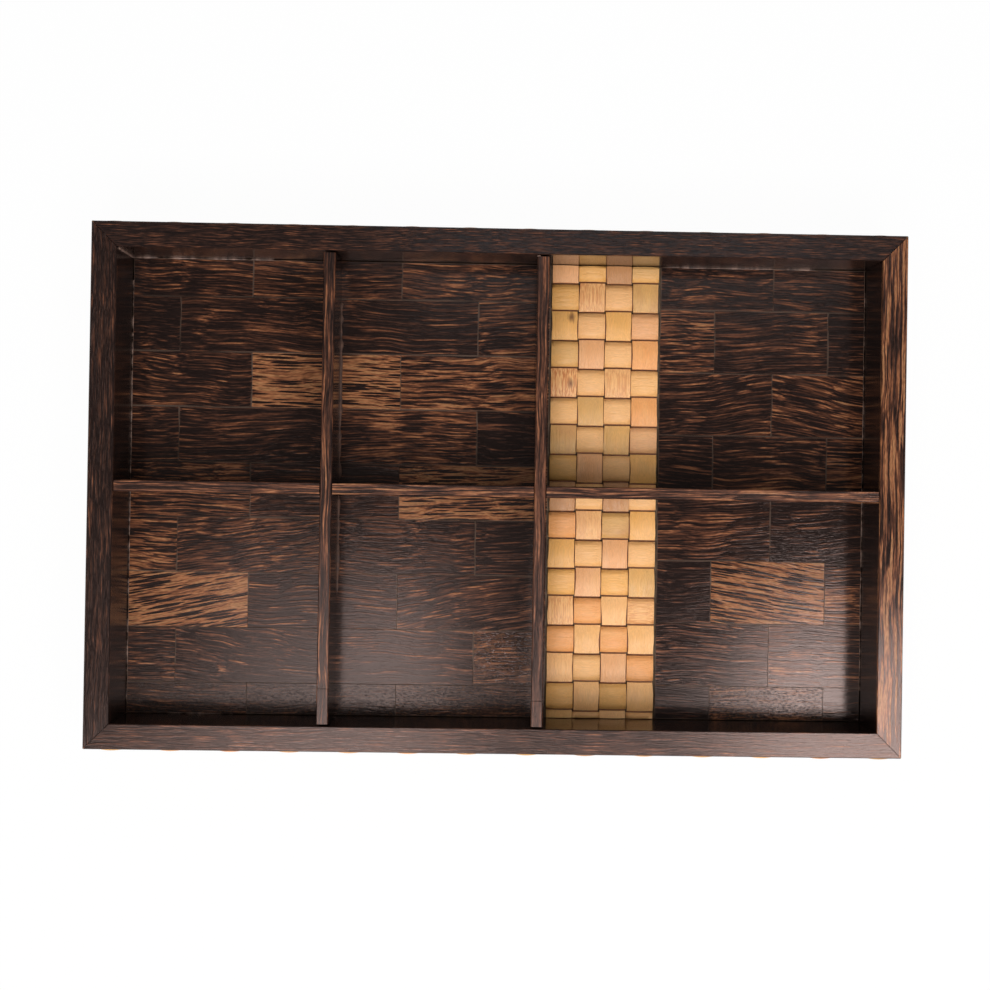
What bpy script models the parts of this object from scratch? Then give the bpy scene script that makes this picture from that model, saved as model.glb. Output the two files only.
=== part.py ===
"""Bar tray in dark palm wood with six compartments and basket weave on its walls and in its floor.

A mitred box of four rabbeted wall boards stands round a bottom board. Woven mats clad the outside between a
base lath and a rim cap. The floor is parquet with an inlaid band of laced strips, and three dividers are half
lapped into each other on top of it. Metres, +Z up, origin under the middle of the tray, front towards -Y.
"""

import math

import bmesh
import bpy
from mathutils import Matrix, Vector

# Overall size
OUTER_LENGTH = 0.420
OUTER_WIDTH = 0.270
COMPARTMENT_DEPTH = 0.046

# Gap left between pieces that touch, and the distance within which loose corners are one
JOINT_GAP = 0.0003
WELD_DISTANCE = 0.000001

# Box
BOARD_THICKNESS = 0.006
WALL_THICKNESS = 0.010
RABBET_DEPTH = 0.005

# Rim cap and base lath
RIM_WIDTH = 0.013
RIM_THICKNESS = 0.003
LATH_THICKNESS = 0.003
LATH_HEIGHT = 0.0069
ARRIS = 0.0004

# Strips of both weaves: a strip lies flat under one crossing and arches over the next
STRIP_THICKNESS = 0.0013
STRIP_CROWN = 0.0009
STRIP_SPACE = 0.0018

# Cladding of the walls
CLADDING_PITCH = 0.0152
CLADDING_OFFSET = 0.0140
CLADDING_SEGMENTS = 4

# Woven band of the floor, which lies beside the right cross divider
BAND_SETBACK = 0.0021
BAND_COLUMNS = 4
BAND_COLUMN_PITCH = 0.01486
BAND_ROW_PITCH = 0.01534
BAND_FIRST_ROW = 0.0096
BAND_SEGMENTS = 4

# Parquet: width of a row of tiles and of the cut first row against the back wall
LEFT_TILE_WIDTH = 0.0295
LEFT_FIRST_ROW = 0.0202
RIGHT_TILE_WIDTH = 0.03375
RIGHT_FIRST_ROW = 0.0230
TILE_JOINT_WIDTH = 0.0005
TILE_JOINT_DEPTH = 0.0003

# Compartments: clear width of two columns, and clear depth of the back row
LEFT_COLUMN = 0.1055
MIDDLE_COLUMN = 0.1040
BACK_ROW = 0.1193

# Dividers
DIVIDER_THICKNESS = 0.006
DIVIDER_DROP = 0.001
EDGING_THICKNESS = 0.0015
CROSS_DIVIDER_END_GAP = 0.001
LEFT_SHORT_EDGING = 0.0180
RIGHT_SHORT_EDGING = 0.0131

# Worked out from the sizes above
WEAVE_DEPTH = 2 * JOINT_GAP + 2 * STRIP_THICKNESS + STRIP_CROWN
INNER_LENGTH = OUTER_LENGTH - 2 * RIM_WIDTH
INNER_WIDTH = OUTER_WIDTH - 2 * RIM_WIDTH
FLOOR_TOP = BOARD_THICKNESS + WEAVE_DEPTH
RIM_TOP = FLOOR_TOP + COMPARTMENT_DEPTH
WALL_TOP = RIM_TOP - RIM_THICKNESS - JOINT_GAP
CLADDING_BOTTOM = LATH_HEIGHT + JOINT_GAP
DIVIDER_TOP = RIM_TOP - DIVIDER_DROP
LEFT_DIVIDER_X = -INNER_LENGTH / 2 + LEFT_COLUMN + DIVIDER_THICKNESS / 2
RIGHT_DIVIDER_X = LEFT_DIVIDER_X + MIDDLE_COLUMN + DIVIDER_THICKNESS
LONG_DIVIDER_Y = INNER_WIDTH / 2 - BACK_ROW - DIVIDER_THICKNESS / 2
BAND_LEFT = RIGHT_DIVIDER_X + DIVIDER_THICKNESS / 2 + BAND_SETBACK
BAND_RIGHT = BAND_LEFT + BAND_COLUMNS * BAND_COLUMN_PITCH

# Faces that meet at more than this are shaded with an edge between them
SHARP_ANGLE = math.radians(30)

# Turn that stands an outline drawn in XY upright, so that it is extruded along Y, or along X
ALONG_Y = (math.pi / 2, 0, 0)
ALONG_X = (math.pi / 2, 0, math.pi / 2)


def clear_scene():
    for obj in list(bpy.data.objects):
        bpy.data.objects.remove(obj, do_unlink=True)


def new_collection(name):
    collection = bpy.data.collections.new(name)
    bpy.context.scene.collection.children.link(collection)
    return collection


def finish(name, colour, roughness):
    """A lacquered wood: base colour and roughness only."""
    material = bpy.data.materials.new(name)
    material.use_nodes = True
    shader = material.node_tree.nodes["Principled BSDF"]
    shader.inputs["Base Color"].default_value = (*colour, 1)
    shader.inputs["Roughness"].default_value = roughness
    shader.inputs["Metallic"].default_value = 0
    return material


def extruded_outline(name, outline, thickness, material, parent=None):
    """A flat outline in XY, filled and extruded to both sides by half the thickness."""
    curve = bpy.data.curves.new(name, "CURVE")
    curve.dimensions = "2D"
    curve.fill_mode = "BOTH"
    curve.extrude = thickness / 2
    spline = curve.splines.new("POLY")
    spline.points.add(len(outline) - 1)
    for point, (x, y) in zip(spline.points, outline):
        point.co = (x, y, 0, 1)
    spline.use_cyclic_u = True
    spline.use_smooth = False
    curve.materials.append(material)
    obj = bpy.data.objects.new(name, curve)
    obj.parent = parent
    tray.objects.link(obj)
    return obj


def as_mesh(obj):
    """The object's evaluated shape as a mesh object with welded caps, in the same place."""
    mesh = bpy.data.meshes.new_from_object(obj.evaluated_get(bpy.context.evaluated_depsgraph_get()))
    shape = bmesh.new()
    shape.from_mesh(mesh)
    bmesh.ops.remove_doubles(shape, verts=shape.verts, dist=WELD_DISTANCE)
    bmesh.ops.recalc_face_normals(shape, faces=shape.faces)
    shape.to_mesh(mesh)
    shape.free()
    mesh.shade_smooth()
    mesh.set_sharp_from_angle(angle=SHARP_ANGLE)
    name, turn, parent = obj.name, obj.rotation_euler.copy(), obj.parent
    bpy.data.objects.remove(obj)
    solid = bpy.data.objects.new(name, mesh)
    solid.rotation_euler = turn
    solid.parent = parent
    tray.objects.link(solid)
    return solid


def rectangle(left, right, bottom, top):
    return [(left, bottom), (right, bottom), (right, top), (left, top)]


def eased_rectangle(left, right, bottom, top):
    """A rectangle with both upper corners taken off by the arris."""
    return [
        (left, bottom),
        (right, bottom),
        (right, top - ARRIS),
        (right - ARRIS, top),
        (left + ARRIS, top),
        (left, top - ARRIS),
    ]


def block(name, low, high, material):
    """A rectangular piece between two corners, from a cube."""
    low, high = Vector(low), Vector(high)
    shape = bmesh.new()
    bmesh.ops.create_cube(shape, size=1)
    bmesh.ops.scale(shape, vec=high - low, verts=shape.verts)
    mesh = bpy.data.meshes.new(name)
    shape.to_mesh(mesh)
    shape.free()
    mesh.materials.append(material)
    obj = bpy.data.objects.new(name, mesh)
    obj.location = (low + high) / 2
    tray.objects.link(obj)


# The four sides are built alike, each in the frame of an empty whose +Y points out of that side


def side_frame(name, turn_degrees):
    empty = bpy.data.objects.new(name, None)
    empty.rotation_euler = (0, 0, math.radians(turn_degrees))
    tray.objects.link(empty)
    return empty


def mitre_ends(solid, half_run, face):
    """Cuts both ends at 45 degrees through the inner corners of the box. X points out and Z along the side."""
    shape = bmesh.new()
    shape.from_mesh(solid.data)
    setback = JOINT_GAP / 2
    for end in (-1, 1):
        normal = Vector((-1, 0, end)).normalized()
        cut = bmesh.ops.bisect_plane(
            shape,
            geom=shape.verts[:] + shape.edges[:] + shape.faces[:],
            plane_co=Vector((face, 0, end * half_run)) - normal * setback,
            plane_no=normal,
            clear_outer=True,
        )
        rim = [item for item in cut["geom_cut"] if isinstance(item, bmesh.types.BMEdge)]
        bmesh.ops.edgenet_fill(shape, edges=rim)
    bmesh.ops.recalc_face_normals(shape, faces=shape.faces)
    shape.to_mesh(solid.data)
    shape.free()


def mitred_member(name, section, half_run, face, material, side):
    """A length of one section, drawn outwards and upwards, that runs along a side with mitred ends."""
    longest = 2 * (half_run + max(out for out, _ in section) - face) + RIM_WIDTH
    obj = extruded_outline(name, section, longest, material, side)
    obj.rotation_euler = ALONG_X
    mitre_ends(as_mesh(obj), half_run, face)


def wall_board(name, half_run, face, side):
    """A board on edge with a rabbet along its lower inner edge, which holds the bottom board."""
    outer = face + WALL_THICKNESS
    rabbet_top = BOARD_THICKNESS + JOINT_GAP
    section = [
        (face + RABBET_DEPTH, 0),
        (outer, 0),
        (outer, WALL_TOP),
        (face, WALL_TOP),
        (face, rabbet_top),
        (face + RABBET_DEPTH, rabbet_top),
    ]
    mitred_member(name, section, half_run, face, wall_wood, side)


def rim_cap(name, half_run, face, side):
    section = eased_rectangle(face, face + RIM_WIDTH, RIM_TOP - RIM_THICKNESS, RIM_TOP)
    mitred_member(name, section, half_run, face, rim_wood, side)


def base_lath(name, half_run, face, side):
    inner = face + WALL_THICKNESS + JOINT_GAP
    section = eased_rectangle(inner, inner + LATH_THICKNESS, 0, LATH_HEIGHT)
    mitred_member(name, section, half_run, face, rim_wood, side)


def arch_places(half, segments):
    """Places along a strip at which its arch over one crossing is drawn."""
    return [half * (2 * step / segments - 1) for step in range(segments + 1)]


def arch_height(place, half):
    """Height of that arch above its own ends."""
    return STRIP_CROWN * math.cos(math.pi / 2 * place / half)


def cladding_arch(length, width):
    """The part of a strip that shows at one crossing of the cladding, with its ends dipping into the bed."""
    dip = STRIP_THICKNESS + 2 * JOINT_GAP
    end = length / 2 - JOINT_GAP
    half = (length - STRIP_SPACE) / 2
    top = [(place, arch_height(place, half)) for place in arch_places(half, CLADDING_SEGMENTS)]
    outline = [(-end, -dip), *top, (end, -dip)]
    return as_mesh(extruded_outline("arch", outline, width - STRIP_SPACE, strip_wood))


def cladding_arches(name, shoulder, row_pitch, half_bed, side):
    """All arches of one mat, lengthwise and upright in a chequer. X points out, Y up and Z along the side.

    A column is there if its near edge stands on the bed, so that the mitre leaves no loose end of it.
    """
    lengthwise = cladding_arch(CLADDING_PITCH, row_pitch)
    upright = cladding_arch(row_pitch, CLADDING_PITCH)
    lengthwise_axes = ((0, 1, 0), (0, 0, 1), (1, 0, 0))
    upright_axes = ((0, 1, 0), (1, 0, 0), (0, 0, -1))
    arches = bmesh.new()
    first_column = math.ceil((STRIP_SPACE - half_bed - CLADDING_OFFSET) / CLADDING_PITCH - 0.5)
    last_column = math.floor((half_bed - STRIP_SPACE - CLADDING_OFFSET) / CLADDING_PITCH + 0.5)
    for row in range(round((WALL_TOP - CLADDING_BOTTOM) / row_pitch)):
        for column in range(first_column, last_column + 1):
            on_top = (row + column) % 2 == 0
            place = Matrix(lengthwise_axes if on_top else upright_axes).to_4x4()
            height = WALL_TOP - (row + 0.5) * row_pitch
            place.translation = (shoulder, height, CLADDING_OFFSET + column * CLADDING_PITCH)
            copy = (lengthwise if on_top else upright).data.copy()
            copy.transform(place)
            arches.from_mesh(copy)
            bpy.data.meshes.remove(copy)
    joined = bpy.data.meshes.new(name)
    arches.to_mesh(joined)
    arches.free()
    for pattern in (lengthwise, upright):
        bpy.data.objects.remove(pattern)
    obj = bpy.data.objects.new(name, joined)
    obj.rotation_euler = ALONG_X
    obj.parent = side
    tray.objects.link(obj)
    return obj


def cladding_mat(name, half_run, face, side):
    """The mat of one side: a bed as thick as the lower strips, and the arches that show on it."""
    rows = max(1, round((WALL_TOP - CLADDING_BOTTOM) / CLADDING_PITCH))
    row_pitch = (WALL_TOP - CLADDING_BOTTOM) / rows
    bed_inner = face + WALL_THICKNESS + JOINT_GAP
    bed_outer = bed_inner + STRIP_THICKNESS + JOINT_GAP
    shoulder = bed_outer + STRIP_THICKNESS
    half_length = half_run + WALL_THICKNESS + WEAVE_DEPTH
    bed = rectangle(bed_inner, bed_outer, CLADDING_BOTTOM, WALL_TOP)
    mat = extruded_outline(name, bed, 2 * half_length + CLADDING_PITCH, strip_wood, side)
    mat.rotation_euler = ALONG_X
    mat = as_mesh(mat)
    arches = cladding_arches(name + "_arches", shoulder, row_pitch, half_run + WALL_THICKNESS, side)
    union = mat.modifiers.new("arches", "BOOLEAN")
    union.operation = "UNION"
    union.object = arches
    mat = as_mesh(mat)
    bpy.data.objects.remove(arches)
    mitre_ends(mat, half_run, face)


def build_side(word, turn_degrees, half_run, face):
    side = side_frame(word + "_side", turn_degrees)
    wall_board(word + "_wall", half_run, face, side)
    cladding_mat(word + "_woven_panel", half_run, face, side)
    base_lath(word + "_base_lath", half_run, face, side)
    rim_cap(word + "_rim_cap", half_run, face, side)


# Floor: parquet on both sides of a band of strips that are laced over and under each other


def parquet_field(name, left, right, tile_width, first_row):
    """Rows of tiles glued edge to edge, with a fine V joint along each row."""
    bottom, top = BOARD_THICKNESS + JOINT_GAP, FLOOR_TOP
    front, back = -INNER_WIDTH / 2 + JOINT_GAP, INNER_WIDTH / 2 - JOINT_GAP
    section = [(front, bottom), (back, bottom), (back, top)]
    joint = INNER_WIDTH / 2 - first_row
    while joint - TILE_JOINT_WIDTH > front:
        section.append((joint + TILE_JOINT_WIDTH / 2, top))
        section.append((joint, top - TILE_JOINT_DEPTH))
        section.append((joint - TILE_JOINT_WIDTH / 2, top))
        joint -= tile_width
    section.append((front, top))
    field = extruded_outline(name, section, right - left, parquet_wood)
    field.rotation_euler = ALONG_X
    field.location.x = (left + right) / 2


def laced_strip(name, start, end, crossings, width):
    """A strip that arches over some crossings and lies flat under the others.

    Each crossing is its first line, its last line and whether this strip is on top there. Between crossings
    the strip slopes from one level to the other.
    """
    under, over = JOINT_GAP, STRIP_THICKNESS + 2 * JOINT_GAP
    path = []
    for near, far, on_top in crossings:
        middle, half = (near + far) / 2, (far - near - STRIP_SPACE) / 2
        low, high = max(middle - half, start), min(middle + half, end)
        if high - low < STRIP_THICKNESS:
            continue
        if not on_top:
            path += [(low, under), (high, under)]
            continue
        inner = [middle + place for place in arch_places(half, BAND_SEGMENTS)]
        places = [low, *(place for place in inner if low + JOINT_GAP < place < high - JOINT_GAP), high]
        path += [(place, over + arch_height(place - middle, half)) for place in places]
    outline = path + [(place, height + STRIP_THICKNESS) for place, height in reversed(path)]
    return as_mesh(extruded_outline(name, outline, width, strip_wood))


def woven_band():
    """Long strips from the back wall to the front wall, and cross strips laced through them."""
    back, front = INNER_WIDTH / 2 - JOINT_GAP, -INNER_WIDTH / 2 + JOINT_GAP
    narrowest_strip = STRIP_SPACE / 2 + STRIP_THICKNESS
    rows = 1 + math.ceil((INNER_WIDTH - BAND_FIRST_ROW - JOINT_GAP - narrowest_strip) / BAND_ROW_PITCH)
    row_lines = [INNER_WIDTH / 2 - BAND_FIRST_ROW + BAND_ROW_PITCH * (1 - row) for row in range(rows + 1)]
    column_lines = [BAND_LEFT + BAND_COLUMN_PITCH * column for column in range(BAND_COLUMNS + 1)]

    for column in range(BAND_COLUMNS):
        crossings = [
            (row_lines[row + 1], row_lines[row], (row + column) % 2 == 0) for row in reversed(range(rows))
        ]
        width = BAND_COLUMN_PITCH - STRIP_SPACE
        strip = laced_strip(f"band_long_strip_{column + 1}", front, back, crossings, width)
        strip.rotation_euler = ALONG_X
        strip.location = ((column_lines[column] + column_lines[column + 1]) / 2, 0, BOARD_THICKNESS)

    for row in range(rows):
        crossings = [
            (column_lines[column], column_lines[column + 1], (row + column) % 2 == 1)
            for column in range(BAND_COLUMNS)
        ]
        high = min(row_lines[row] - STRIP_SPACE / 2, back)
        low = max(row_lines[row + 1] + STRIP_SPACE / 2, front)
        strip = laced_strip(f"band_cross_strip_{row + 1:02d}", BAND_LEFT, BAND_RIGHT, crossings, high - low)
        strip.rotation_euler = ALONG_Y
        strip.location = (0, (high + low) / 2, BOARD_THICKNESS)


def build_floor():
    half_length = INNER_LENGTH / 2 + RABBET_DEPTH - JOINT_GAP
    half_width = INNER_WIDTH / 2 + RABBET_DEPTH - JOINT_GAP
    low = (-half_length, -half_width, 0)
    block("bottom_board", low, (half_length, half_width, BOARD_THICKNESS), board_wood)
    left_end, right_end = -INNER_LENGTH / 2 + JOINT_GAP, INNER_LENGTH / 2 - JOINT_GAP
    parquet_field("left_parquet", left_end, BAND_LEFT, LEFT_TILE_WIDTH, LEFT_FIRST_ROW)
    parquet_field("right_parquet", BAND_RIGHT, right_end, RIGHT_TILE_WIDTH, RIGHT_FIRST_ROW)
    woven_band()


# Dividers: half lapped, with the cross dividers whole on top, and edging strips on all three


def notched_divider(name, start, end, notches, from_top):
    """A board on edge with a half-lap notch at each place, cut from its top or from its bottom."""
    bottom, top = FLOOR_TOP + JOINT_GAP, DIVIDER_TOP - EDGING_THICKNESS - JOINT_GAP
    notch_half = DIVIDER_THICKNESS / 2 + JOINT_GAP
    middle = (bottom + DIVIDER_TOP) / 2
    notched, plain = (top, bottom) if from_top else (bottom, top)
    notch_end = middle + (-JOINT_GAP / 2 if from_top else JOINT_GAP / 2)
    outline = [(end, plain), (start, plain), (start, notched)]
    for place in notches:
        outline.append((place - notch_half, notched))
        outline.append((place - notch_half, notch_end))
        outline.append((place + notch_half, notch_end))
        outline.append((place + notch_half, notched))
    outline.append((end, notched))
    return extruded_outline(name, outline, DIVIDER_THICKNESS, divider_wood)


def edging(name, start, end):
    """A strip glued on a divider's top edge, with eased arrises."""
    half = DIVIDER_THICKNESS / 2
    section = eased_rectangle(-half, half, DIVIDER_TOP - EDGING_THICKNESS, DIVIDER_TOP)
    strip = extruded_outline(name, section, end - start, edging_wood)
    return strip, (start + end) / 2


def edging_along_x(name, start, end, y):
    strip, middle = edging(name, start, end)
    strip.rotation_euler = ALONG_X
    strip.location = (middle, y, 0)


def edging_along_y(name, start, end, x):
    strip, middle = edging(name, start, end)
    strip.rotation_euler = ALONG_Y
    strip.location = (x, middle, 0)


def build_long_divider():
    reach = INNER_LENGTH / 2 - JOINT_GAP
    divider = notched_divider("long_divider", -reach, reach, [LEFT_DIVIDER_X, RIGHT_DIVIDER_X], True)
    divider.rotation_euler = ALONG_Y
    divider.location.y = LONG_DIVIDER_Y
    clear = DIVIDER_THICKNESS / 2 + JOINT_GAP
    edging_along_x("long_divider_left_edging", -reach, LEFT_DIVIDER_X - clear, LONG_DIVIDER_Y)
    middle_start, middle_end = LEFT_DIVIDER_X + clear, RIGHT_DIVIDER_X - clear
    edging_along_x("long_divider_middle_edging", middle_start, middle_end, LONG_DIVIDER_Y)
    edging_along_x("long_divider_right_edging", RIGHT_DIVIDER_X + clear, reach, LONG_DIVIDER_Y)


def build_cross_divider(word, x, short_edging):
    reach = INNER_WIDTH / 2 - CROSS_DIVIDER_END_GAP
    name = word + "_cross_divider"
    divider = notched_divider(name, -reach, reach, [LONG_DIVIDER_Y], False)
    divider.rotation_euler = ALONG_X
    divider.location.x = x
    butt_joint = -reach + short_edging
    edging_along_y(name + "_long_edging", butt_joint + JOINT_GAP, reach, x)
    edging_along_y(name + "_short_edging", -reach, butt_joint, x)


clear_scene()
tray = new_collection("bar_tray")
board_wood = finish("plain_board", (0.16, 0.10, 0.06), 0.6)
wall_wood = finish("lacquered_palm_wall", (0.05, 0.025, 0.018), 0.25)
rim_wood = finish("lacquered_palm_rim", (0.10, 0.05, 0.035), 0.4)
parquet_wood = finish("lacquered_palm_parquet", (0.07, 0.035, 0.022), 0.25)
divider_wood = finish("lacquered_palm_divider", (0.06, 0.03, 0.02), 0.25)
edging_wood = finish("lacquered_palm_edging", (0.16, 0.075, 0.045), 0.4)
strip_wood = finish("golden_palm_strip", (0.72, 0.45, 0.20), 0.4)

for side_word, side_turn in (("back", 0), ("right", -90), ("front", 180), ("left", 90)):
    if side_word in ("back", "front"):
        build_side(side_word, side_turn, INNER_LENGTH / 2, INNER_WIDTH / 2)
    else:
        build_side(side_word, side_turn, INNER_WIDTH / 2, INNER_LENGTH / 2)
build_floor()
build_long_divider()
build_cross_divider("left", LEFT_DIVIDER_X, LEFT_SHORT_EDGING)
build_cross_divider("right", RIGHT_DIVIDER_X, RIGHT_SHORT_EDGING)
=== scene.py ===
import bisect
import math
import random

import bmesh
import bpy
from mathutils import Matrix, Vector


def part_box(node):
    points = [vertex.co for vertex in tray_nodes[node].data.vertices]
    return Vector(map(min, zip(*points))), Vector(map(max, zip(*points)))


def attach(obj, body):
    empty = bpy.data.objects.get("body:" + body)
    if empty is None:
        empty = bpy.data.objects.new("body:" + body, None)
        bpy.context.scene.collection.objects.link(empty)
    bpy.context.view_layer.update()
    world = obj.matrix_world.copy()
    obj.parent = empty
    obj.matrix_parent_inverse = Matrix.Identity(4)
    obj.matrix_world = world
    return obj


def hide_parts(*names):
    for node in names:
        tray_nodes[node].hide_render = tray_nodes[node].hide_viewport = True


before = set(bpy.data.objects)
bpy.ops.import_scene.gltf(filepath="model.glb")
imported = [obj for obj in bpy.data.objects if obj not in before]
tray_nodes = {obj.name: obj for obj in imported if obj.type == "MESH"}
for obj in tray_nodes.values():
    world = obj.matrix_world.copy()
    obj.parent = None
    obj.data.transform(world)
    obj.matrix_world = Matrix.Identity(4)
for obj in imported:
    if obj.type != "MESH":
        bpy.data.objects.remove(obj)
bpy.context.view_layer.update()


# Bottom board: a plain sanded board that carries the whole tray. It sits in the rabbets of the walls, and
# only its underside is ever seen.
BOARD_BROWN = (0.16, 0.10, 0.06, 1)
BOARD_PALE = (0.27, 0.18, 0.11, 1)
BOARD_GRAIN = (9, 240, 240)
BOARD_ROUGHNESS = (0.55, 0.75)
BOARD_RELIEF = 0.0002


def add_node(tree, kind, sockets, **settings):
    """A node of that kind, with each named socket set to a number or linked to another node's socket."""
    node = tree.nodes.new(kind)
    for name, value in settings.items():
        setattr(node, name, value)
    for name, value in sockets.items():
        if isinstance(value, bpy.types.NodeSocket):
            tree.links.new(value, node.inputs[name])
        else:
            node.inputs[name].default_value = value
    return node


def new_finish(name):
    """An empty wood finish: its node tree, its shader and the place on the piece."""
    finish = bpy.data.materials.new(name)
    finish.use_nodes = True
    tree = finish.node_tree
    place = tree.nodes.new("ShaderNodeTexCoord").outputs["Object"]
    return finish, tree, tree.nodes["Principled BSDF"], place


def stretched_noise(tree, place, scale, detail=2.0, roughness=0.5):
    """Noise with its own number of spots per metre along each axis, which draws fibres when they differ."""
    mapping = add_node(tree, "ShaderNodeMapping", {"Vector": place, "Scale": scale})
    settings = {"Vector": mapping.outputs["Vector"], "Scale": 1.0, "Detail": detail, "Roughness": roughness}
    return add_node(tree, "ShaderNodeTexNoise", settings).outputs["Fac"]


def arithmetic(tree, operation, first, second):
    return add_node(tree, "ShaderNodeMath", {0: first, 1: second}, operation=operation).outputs[0]


def times(tree, first, second):
    return arithmetic(tree, "MULTIPLY", first, second)


def plus(tree, first, second):
    return arithmetic(tree, "ADD", first, second)


def minus(tree, first, second):
    return arithmetic(tree, "SUBTRACT", first, second)


def colour_steps(tree, value, steps):
    """Colours for rising values of a pattern, each step as its value and its colour."""
    ramp = add_node(tree, "ShaderNodeValToRGB", {"Fac": value})
    while len(ramp.color_ramp.elements) < len(steps):
        ramp.color_ramp.elements.new(0.5)
    for element, (position, colour) in zip(ramp.color_ramp.elements, steps):
        element.position = position
        element.color = colour
    return ramp.outputs["Color"]


def value_range(tree, value, low, high, new_low, new_high):
    sockets = {"Value": value, "From Min": low, "From Max": high, "To Min": new_low, "To Max": new_high}
    return add_node(tree, "ShaderNodeMapRange", sockets).outputs["Result"]


def noise_range(tree, noise, new_low, new_high):
    """Noise seldom leaves the values from 0.3 to 0.7, so these are spread from the new low to the high."""
    return value_range(tree, noise, 0.3, 0.7, new_low, new_high)


def add_relief(tree, shader, height, depth):
    bump = add_node(tree, "ShaderNodeBump", {"Height": height, "Distance": depth, "Strength": 1.0})
    tree.links.new(bump.outputs["Normal"], shader.inputs["Normal"])


def sanded_board():
    finish, tree, shader, place = new_finish("sanded_board")
    grain = stretched_noise(tree, place, BOARD_GRAIN, 4, 0.6)
    brown = colour_steps(tree, grain, [(0.3, BOARD_BROWN), (0.7, BOARD_PALE)])
    tree.links.new(brown, shader.inputs["Base Color"])
    tree.links.new(noise_range(tree, grain, *BOARD_ROUGHNESS), shader.inputs["Roughness"])
    add_relief(tree, shader, grain, BOARD_RELIEF)
    return finish


def dress(names, finish):
    """Gives carried-over pieces their finish."""
    for name in names:
        for slot in tray_nodes[name].material_slots:
            slot.material = finish


dress(["bottom_board"], sanded_board())


# Wall boards: four mitred boards of black palm wood on edge. The fibre bundles show as thin red-brown and tan
# dashes along each board, in a nearly black ground, under gloss lacquer.
PALM_BLACK = (0.0125, 0.0068, 0.0058, 1)
PALM_BROWN = (0.040, 0.017, 0.011, 1)
PALM_RED = (0.125, 0.044, 0.022, 1)
PALM_ORANGE = (0.31, 0.118, 0.050, 1)
PALM_TAN = (0.31, 0.142, 0.062, 1)
LACQUER_TINT = (1.0, 0.76, 0.70, 1)
WALL_GRAIN = {"ground": 0.54, "spread": 0.4, "gloss": 0.12}
SIDE_WALL_GRAIN = {**WALL_GRAIN, "gloss": 0.20, "specular": 0.18}
BUNDLE_EDGE = 0.52
BUNDLE_CORE = 0.34
WEAKEST_BUNDLE = 0.15
WANDER_SPOTS = 25.0
GRAIN_SHARE = 0.8
BUNDLE_LIFT = (0.06, 0.22)
PATCH_SPOTS = (18, 70)
PORE_SPOTS = (300, 2600)
PORE_SHADES = (0.5, 1.2)
PORE_RELIEF = 0.35
PALM_RELIEF = 0.00006


def along_grain(grain_axis, along, across):
    """A scale with one number along the grain and another across it."""
    return tuple(along if axis == grain_axis else across for axis in "XYZ")


def vector_arithmetic(tree, operation, first, second):
    return add_node(tree, "ShaderNodeVectorMath", {0: first, 1: second}, operation=operation).outputs[0]


def shaded(tree, colour, shade):
    """The colour, darker or lighter by a factor."""
    return add_node(tree, "ShaderNodeVectorMath", {0: colour, "Scale": shade}, operation="SCALE").outputs[0]


def fibre_bundles(tree, place, scale):
    """Slender bundles of fibre, each of its own strength: 0 between them, and up to 1 along their middle."""
    mapping = add_node(tree, "ShaderNodeMapping", {"Vector": place, "Scale": scale})
    cells = add_node(tree, "ShaderNodeTexVoronoi", {"Vector": mapping.outputs["Vector"], "Scale": 1.0})
    body = value_range(tree, cells.outputs["Distance"], BUNDLE_EDGE, BUNDLE_CORE, 0.0, 1.0)
    own = add_node(tree, "ShaderNodeSeparateColor", {"Color": cells.outputs["Color"]}).outputs["Red"]
    return times(tree, body, value_range(tree, own, 0.0, 1.0, WEAKEST_BUNDLE, 1.0))


def palm_pattern(tree, place, grain_axis, dashes_along, dashes_across, reach=0.004):
    """Tapered dashes of fibre that wander sideways as far as the reach, and the patches they gather in.

    Returns the dashes, the patches and the pores of the wood.
    """
    wander = add_node(tree, "ShaderNodeTexNoise", {"Vector": place, "Scale": WANDER_SPOTS, "Detail": 1.0})
    drift = vector_arithmetic(tree, "SUBTRACT", wander.outputs["Color"], (0.5, 0.5, 0.5))
    shift = vector_arithmetic(tree, "MULTIPLY", drift, along_grain(grain_axis, 0.0, reach))
    bent = vector_arithmetic(tree, "ADD", place, shift)
    grain = stretched_noise(tree, bent, along_grain(grain_axis, dashes_along, dashes_across), 3.5, 0.62)
    bundles = fibre_bundles(tree, bent, along_grain(grain_axis, dashes_along, dashes_across * 0.85))
    raised = value_range(tree, bundles, 0.0, 1.0, *BUNDLE_LIFT)
    dashes = plus(tree, times(tree, grain, GRAIN_SHARE), raised)
    patches = stretched_noise(tree, bent, along_grain(grain_axis, *PATCH_SPOTS), 2, 0.5)
    pores = stretched_noise(tree, bent, along_grain(grain_axis, *PORE_SPOTS), 1, 0.5)
    return dashes, patches, pores


def palm_colour(tree, value, pores, ground, spread):
    """The dashes in colour: a black ground, then brown, red, orange and tan where the fibres are thicker."""
    tones = [PALM_BLACK, PALM_BROWN, PALM_RED, PALM_ORANGE, PALM_TAN]
    steps = [(ground + spread * index / (len(tones) - 1), tone) for index, tone in enumerate(tones)]
    painted = colour_steps(tree, value, steps)
    return shaded(tree, painted, value_range(tree, pores, 0.3, 0.65, *PORE_SHADES))


def lacquer(tree, shader, dashes, pores, gloss, depth, tint):
    """Lacquer over the wood: the fibres and pores still show a little in its surface."""
    roughness = value_range(tree, dashes, 0.35, 0.65, gloss * 0.8, gloss * 1.35)
    tree.links.new(roughness, shader.inputs["Roughness"])
    shader.inputs["Specular Tint"].default_value = tint
    add_relief(tree, shader, plus(tree, dashes, times(tree, pores, PORE_RELIEF)), depth)


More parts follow.
